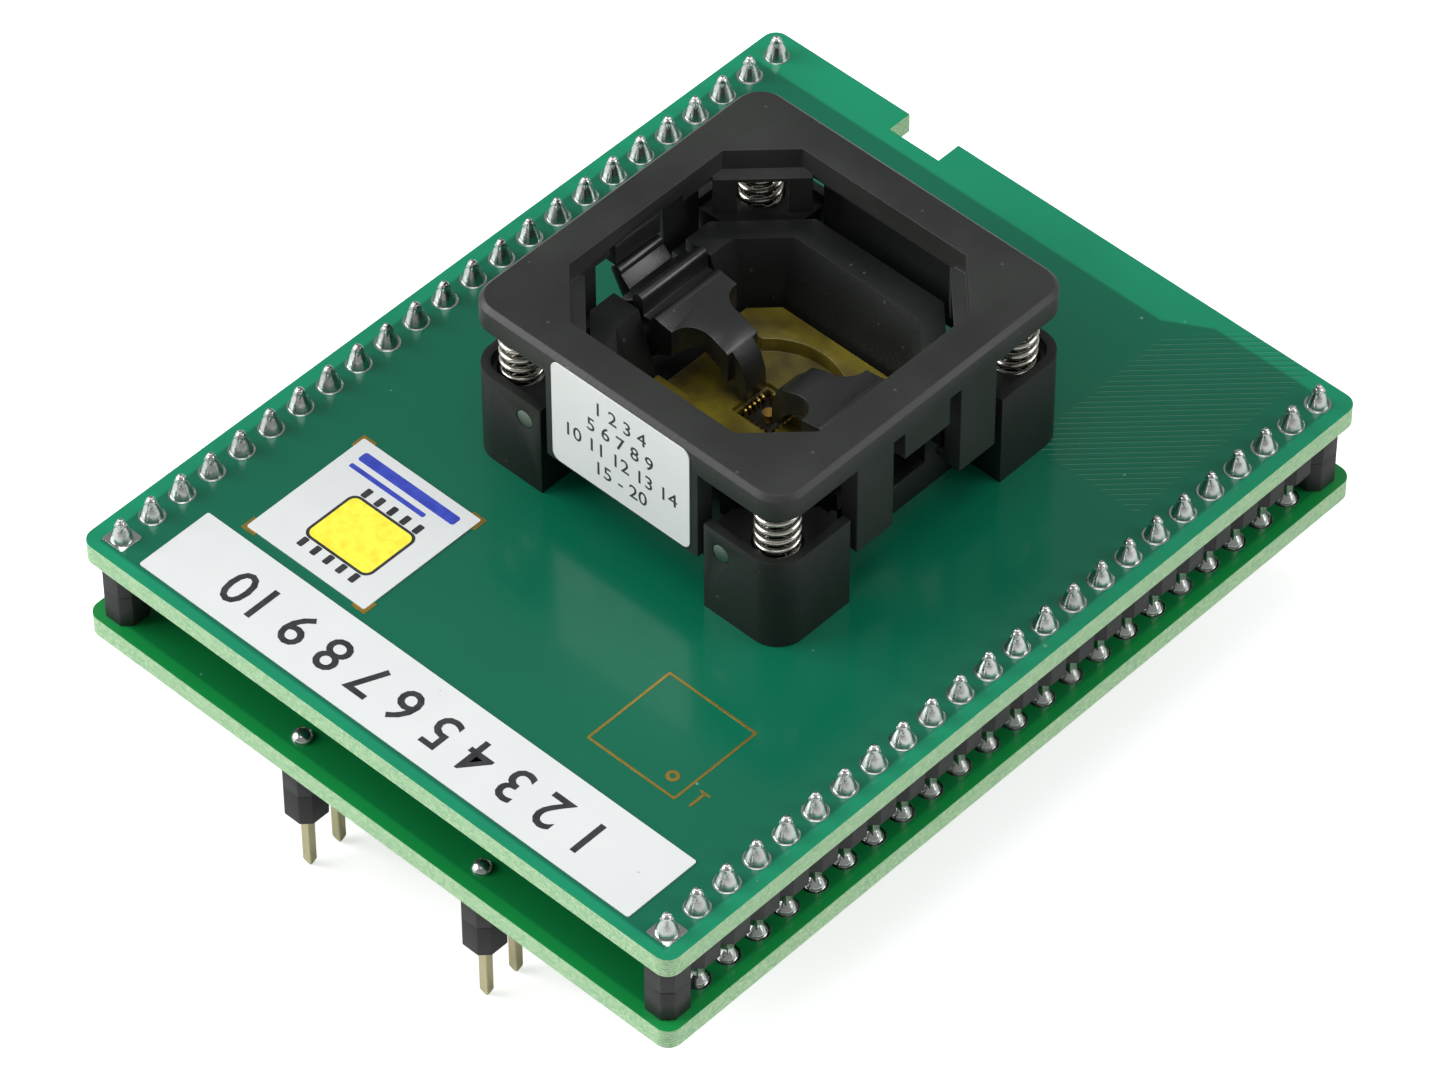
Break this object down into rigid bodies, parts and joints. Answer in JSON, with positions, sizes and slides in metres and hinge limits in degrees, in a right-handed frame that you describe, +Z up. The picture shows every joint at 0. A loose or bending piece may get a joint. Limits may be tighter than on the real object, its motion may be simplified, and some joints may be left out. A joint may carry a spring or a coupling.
{
  "type": "zif test socket adapter",
  "caption": "Open-top zero-insertion-force socket for a small leadless chip, on two stacked circuit boards with a dual-row plug underneath; pressing the cover opens two latches.",
  "frame": {"origin": "centre of the boards' outline, at the level of the plug pins' tips", "axes": "+Z up out of the socket, +Y along the boards' long side towards the key notch, +X along the short side"},
  "size_m": [0.0494, 0.0622, 0.0311],
  "materials": {
    "upper_board": "glossy green solder mask on glass-fibre board",
    "lower_board": "glossy green solder mask on glass-fibre board",
    "strip_plastic": "moulded black, slightly satin",
    "board_pin": "tinned square pin",
    "plug_pin": "thin gold plating",
    "solder": "bright solder",
    "paper": "coated white paper",
    "base_plastic": "moulded black, fine texture",
    "cover_plastic": "moulded black, fine texture",
    "latch_plastic": "moulded black, smooth",
    "housing_plastic": "moulded black",
    "nest_plastic": "amber translucent moulding",
    "contact_metal": "gold plating",
    "dowel_steel": "ground steel",
    "spring_steel": "drawn spring wire"
  },
  "bodies": {
    "adapter": {"upper_board": "upper_board", "lower_board": "lower_board", "board_strip_left": "strip_plastic", "board_strip_right": "strip_plastic", "end_spacers": "strip_plastic", "plug_strip_left": "strip_plastic", "plug_strip_right": "strip_plastic", "plug_riser_left": "strip_plastic", "plug_riser_right": "strip_plastic", "board_pins_left": "board_pin", "board_pins_right": "board_pin", "plug_pins_left": "plug_pin", "plug_pins_right": "plug_pin", "upper_solder": "solder", "lower_solder": "solder", "plug_solder": "solder", "contact_solder": "solder", "strip_label": "paper", "square_label": "paper", "socket_base": "base_plastic", "contact_housing": "housing_plastic", "nest": "nest_plastic", "contacts_left": "contact_metal", "contacts_right": "contact_metal", "contacts_front": "contact_metal", "contacts_back": "contact_metal", "ground_contact": "contact_metal", "dowel_left": "dowel_steel", "dowel_right": "dowel_steel", "spring_front_left": "spring_steel", "spring_front_right": "spring_steel", "spring_back_left": "spring_steel", "spring_back_right": "spring_steel"},
    "cover": {"cover": "cover_plastic", "skirt_label": "paper"},
    "latch_left": {"latch_left": "latch_plastic"},
    "latch_right": {"latch_right": "latch_plastic"}
  },
  "joints": [
    {"name": "cover_press", "type": "slide", "parent": "adapter", "child": "cover", "axis": [0, 0, -1], "range_m": [0, 0.0034], "stiffness_N_per_m": 2000, "springref_m": -0.002, "deforming": ["spring_front_left", "spring_front_right", "spring_back_left", "spring_back_right"]},
    {"name": "latch_left_open", "type": "hinge", "parent": "adapter", "child": "latch_left", "pos_m": [-0.00817, 0.00395, 0.02375], "axis": [0, -1, 0], "range_deg": [0, 52.7]},
    {"name": "latch_right_open", "type": "hinge", "parent": "adapter", "child": "latch_right", "pos_m": [0.00817, 0.00395, 0.02375], "axis": [0, 1, 0], "range_deg": [0, 52.7]}
  ],
  "couplings": [
    {"joint": "latch_left_open", "follows": "cover_press", "rad_per_m": 270.5},
    {"joint": "latch_right_open", "follows": "cover_press", "rad_per_m": 270.5}
  ]
}
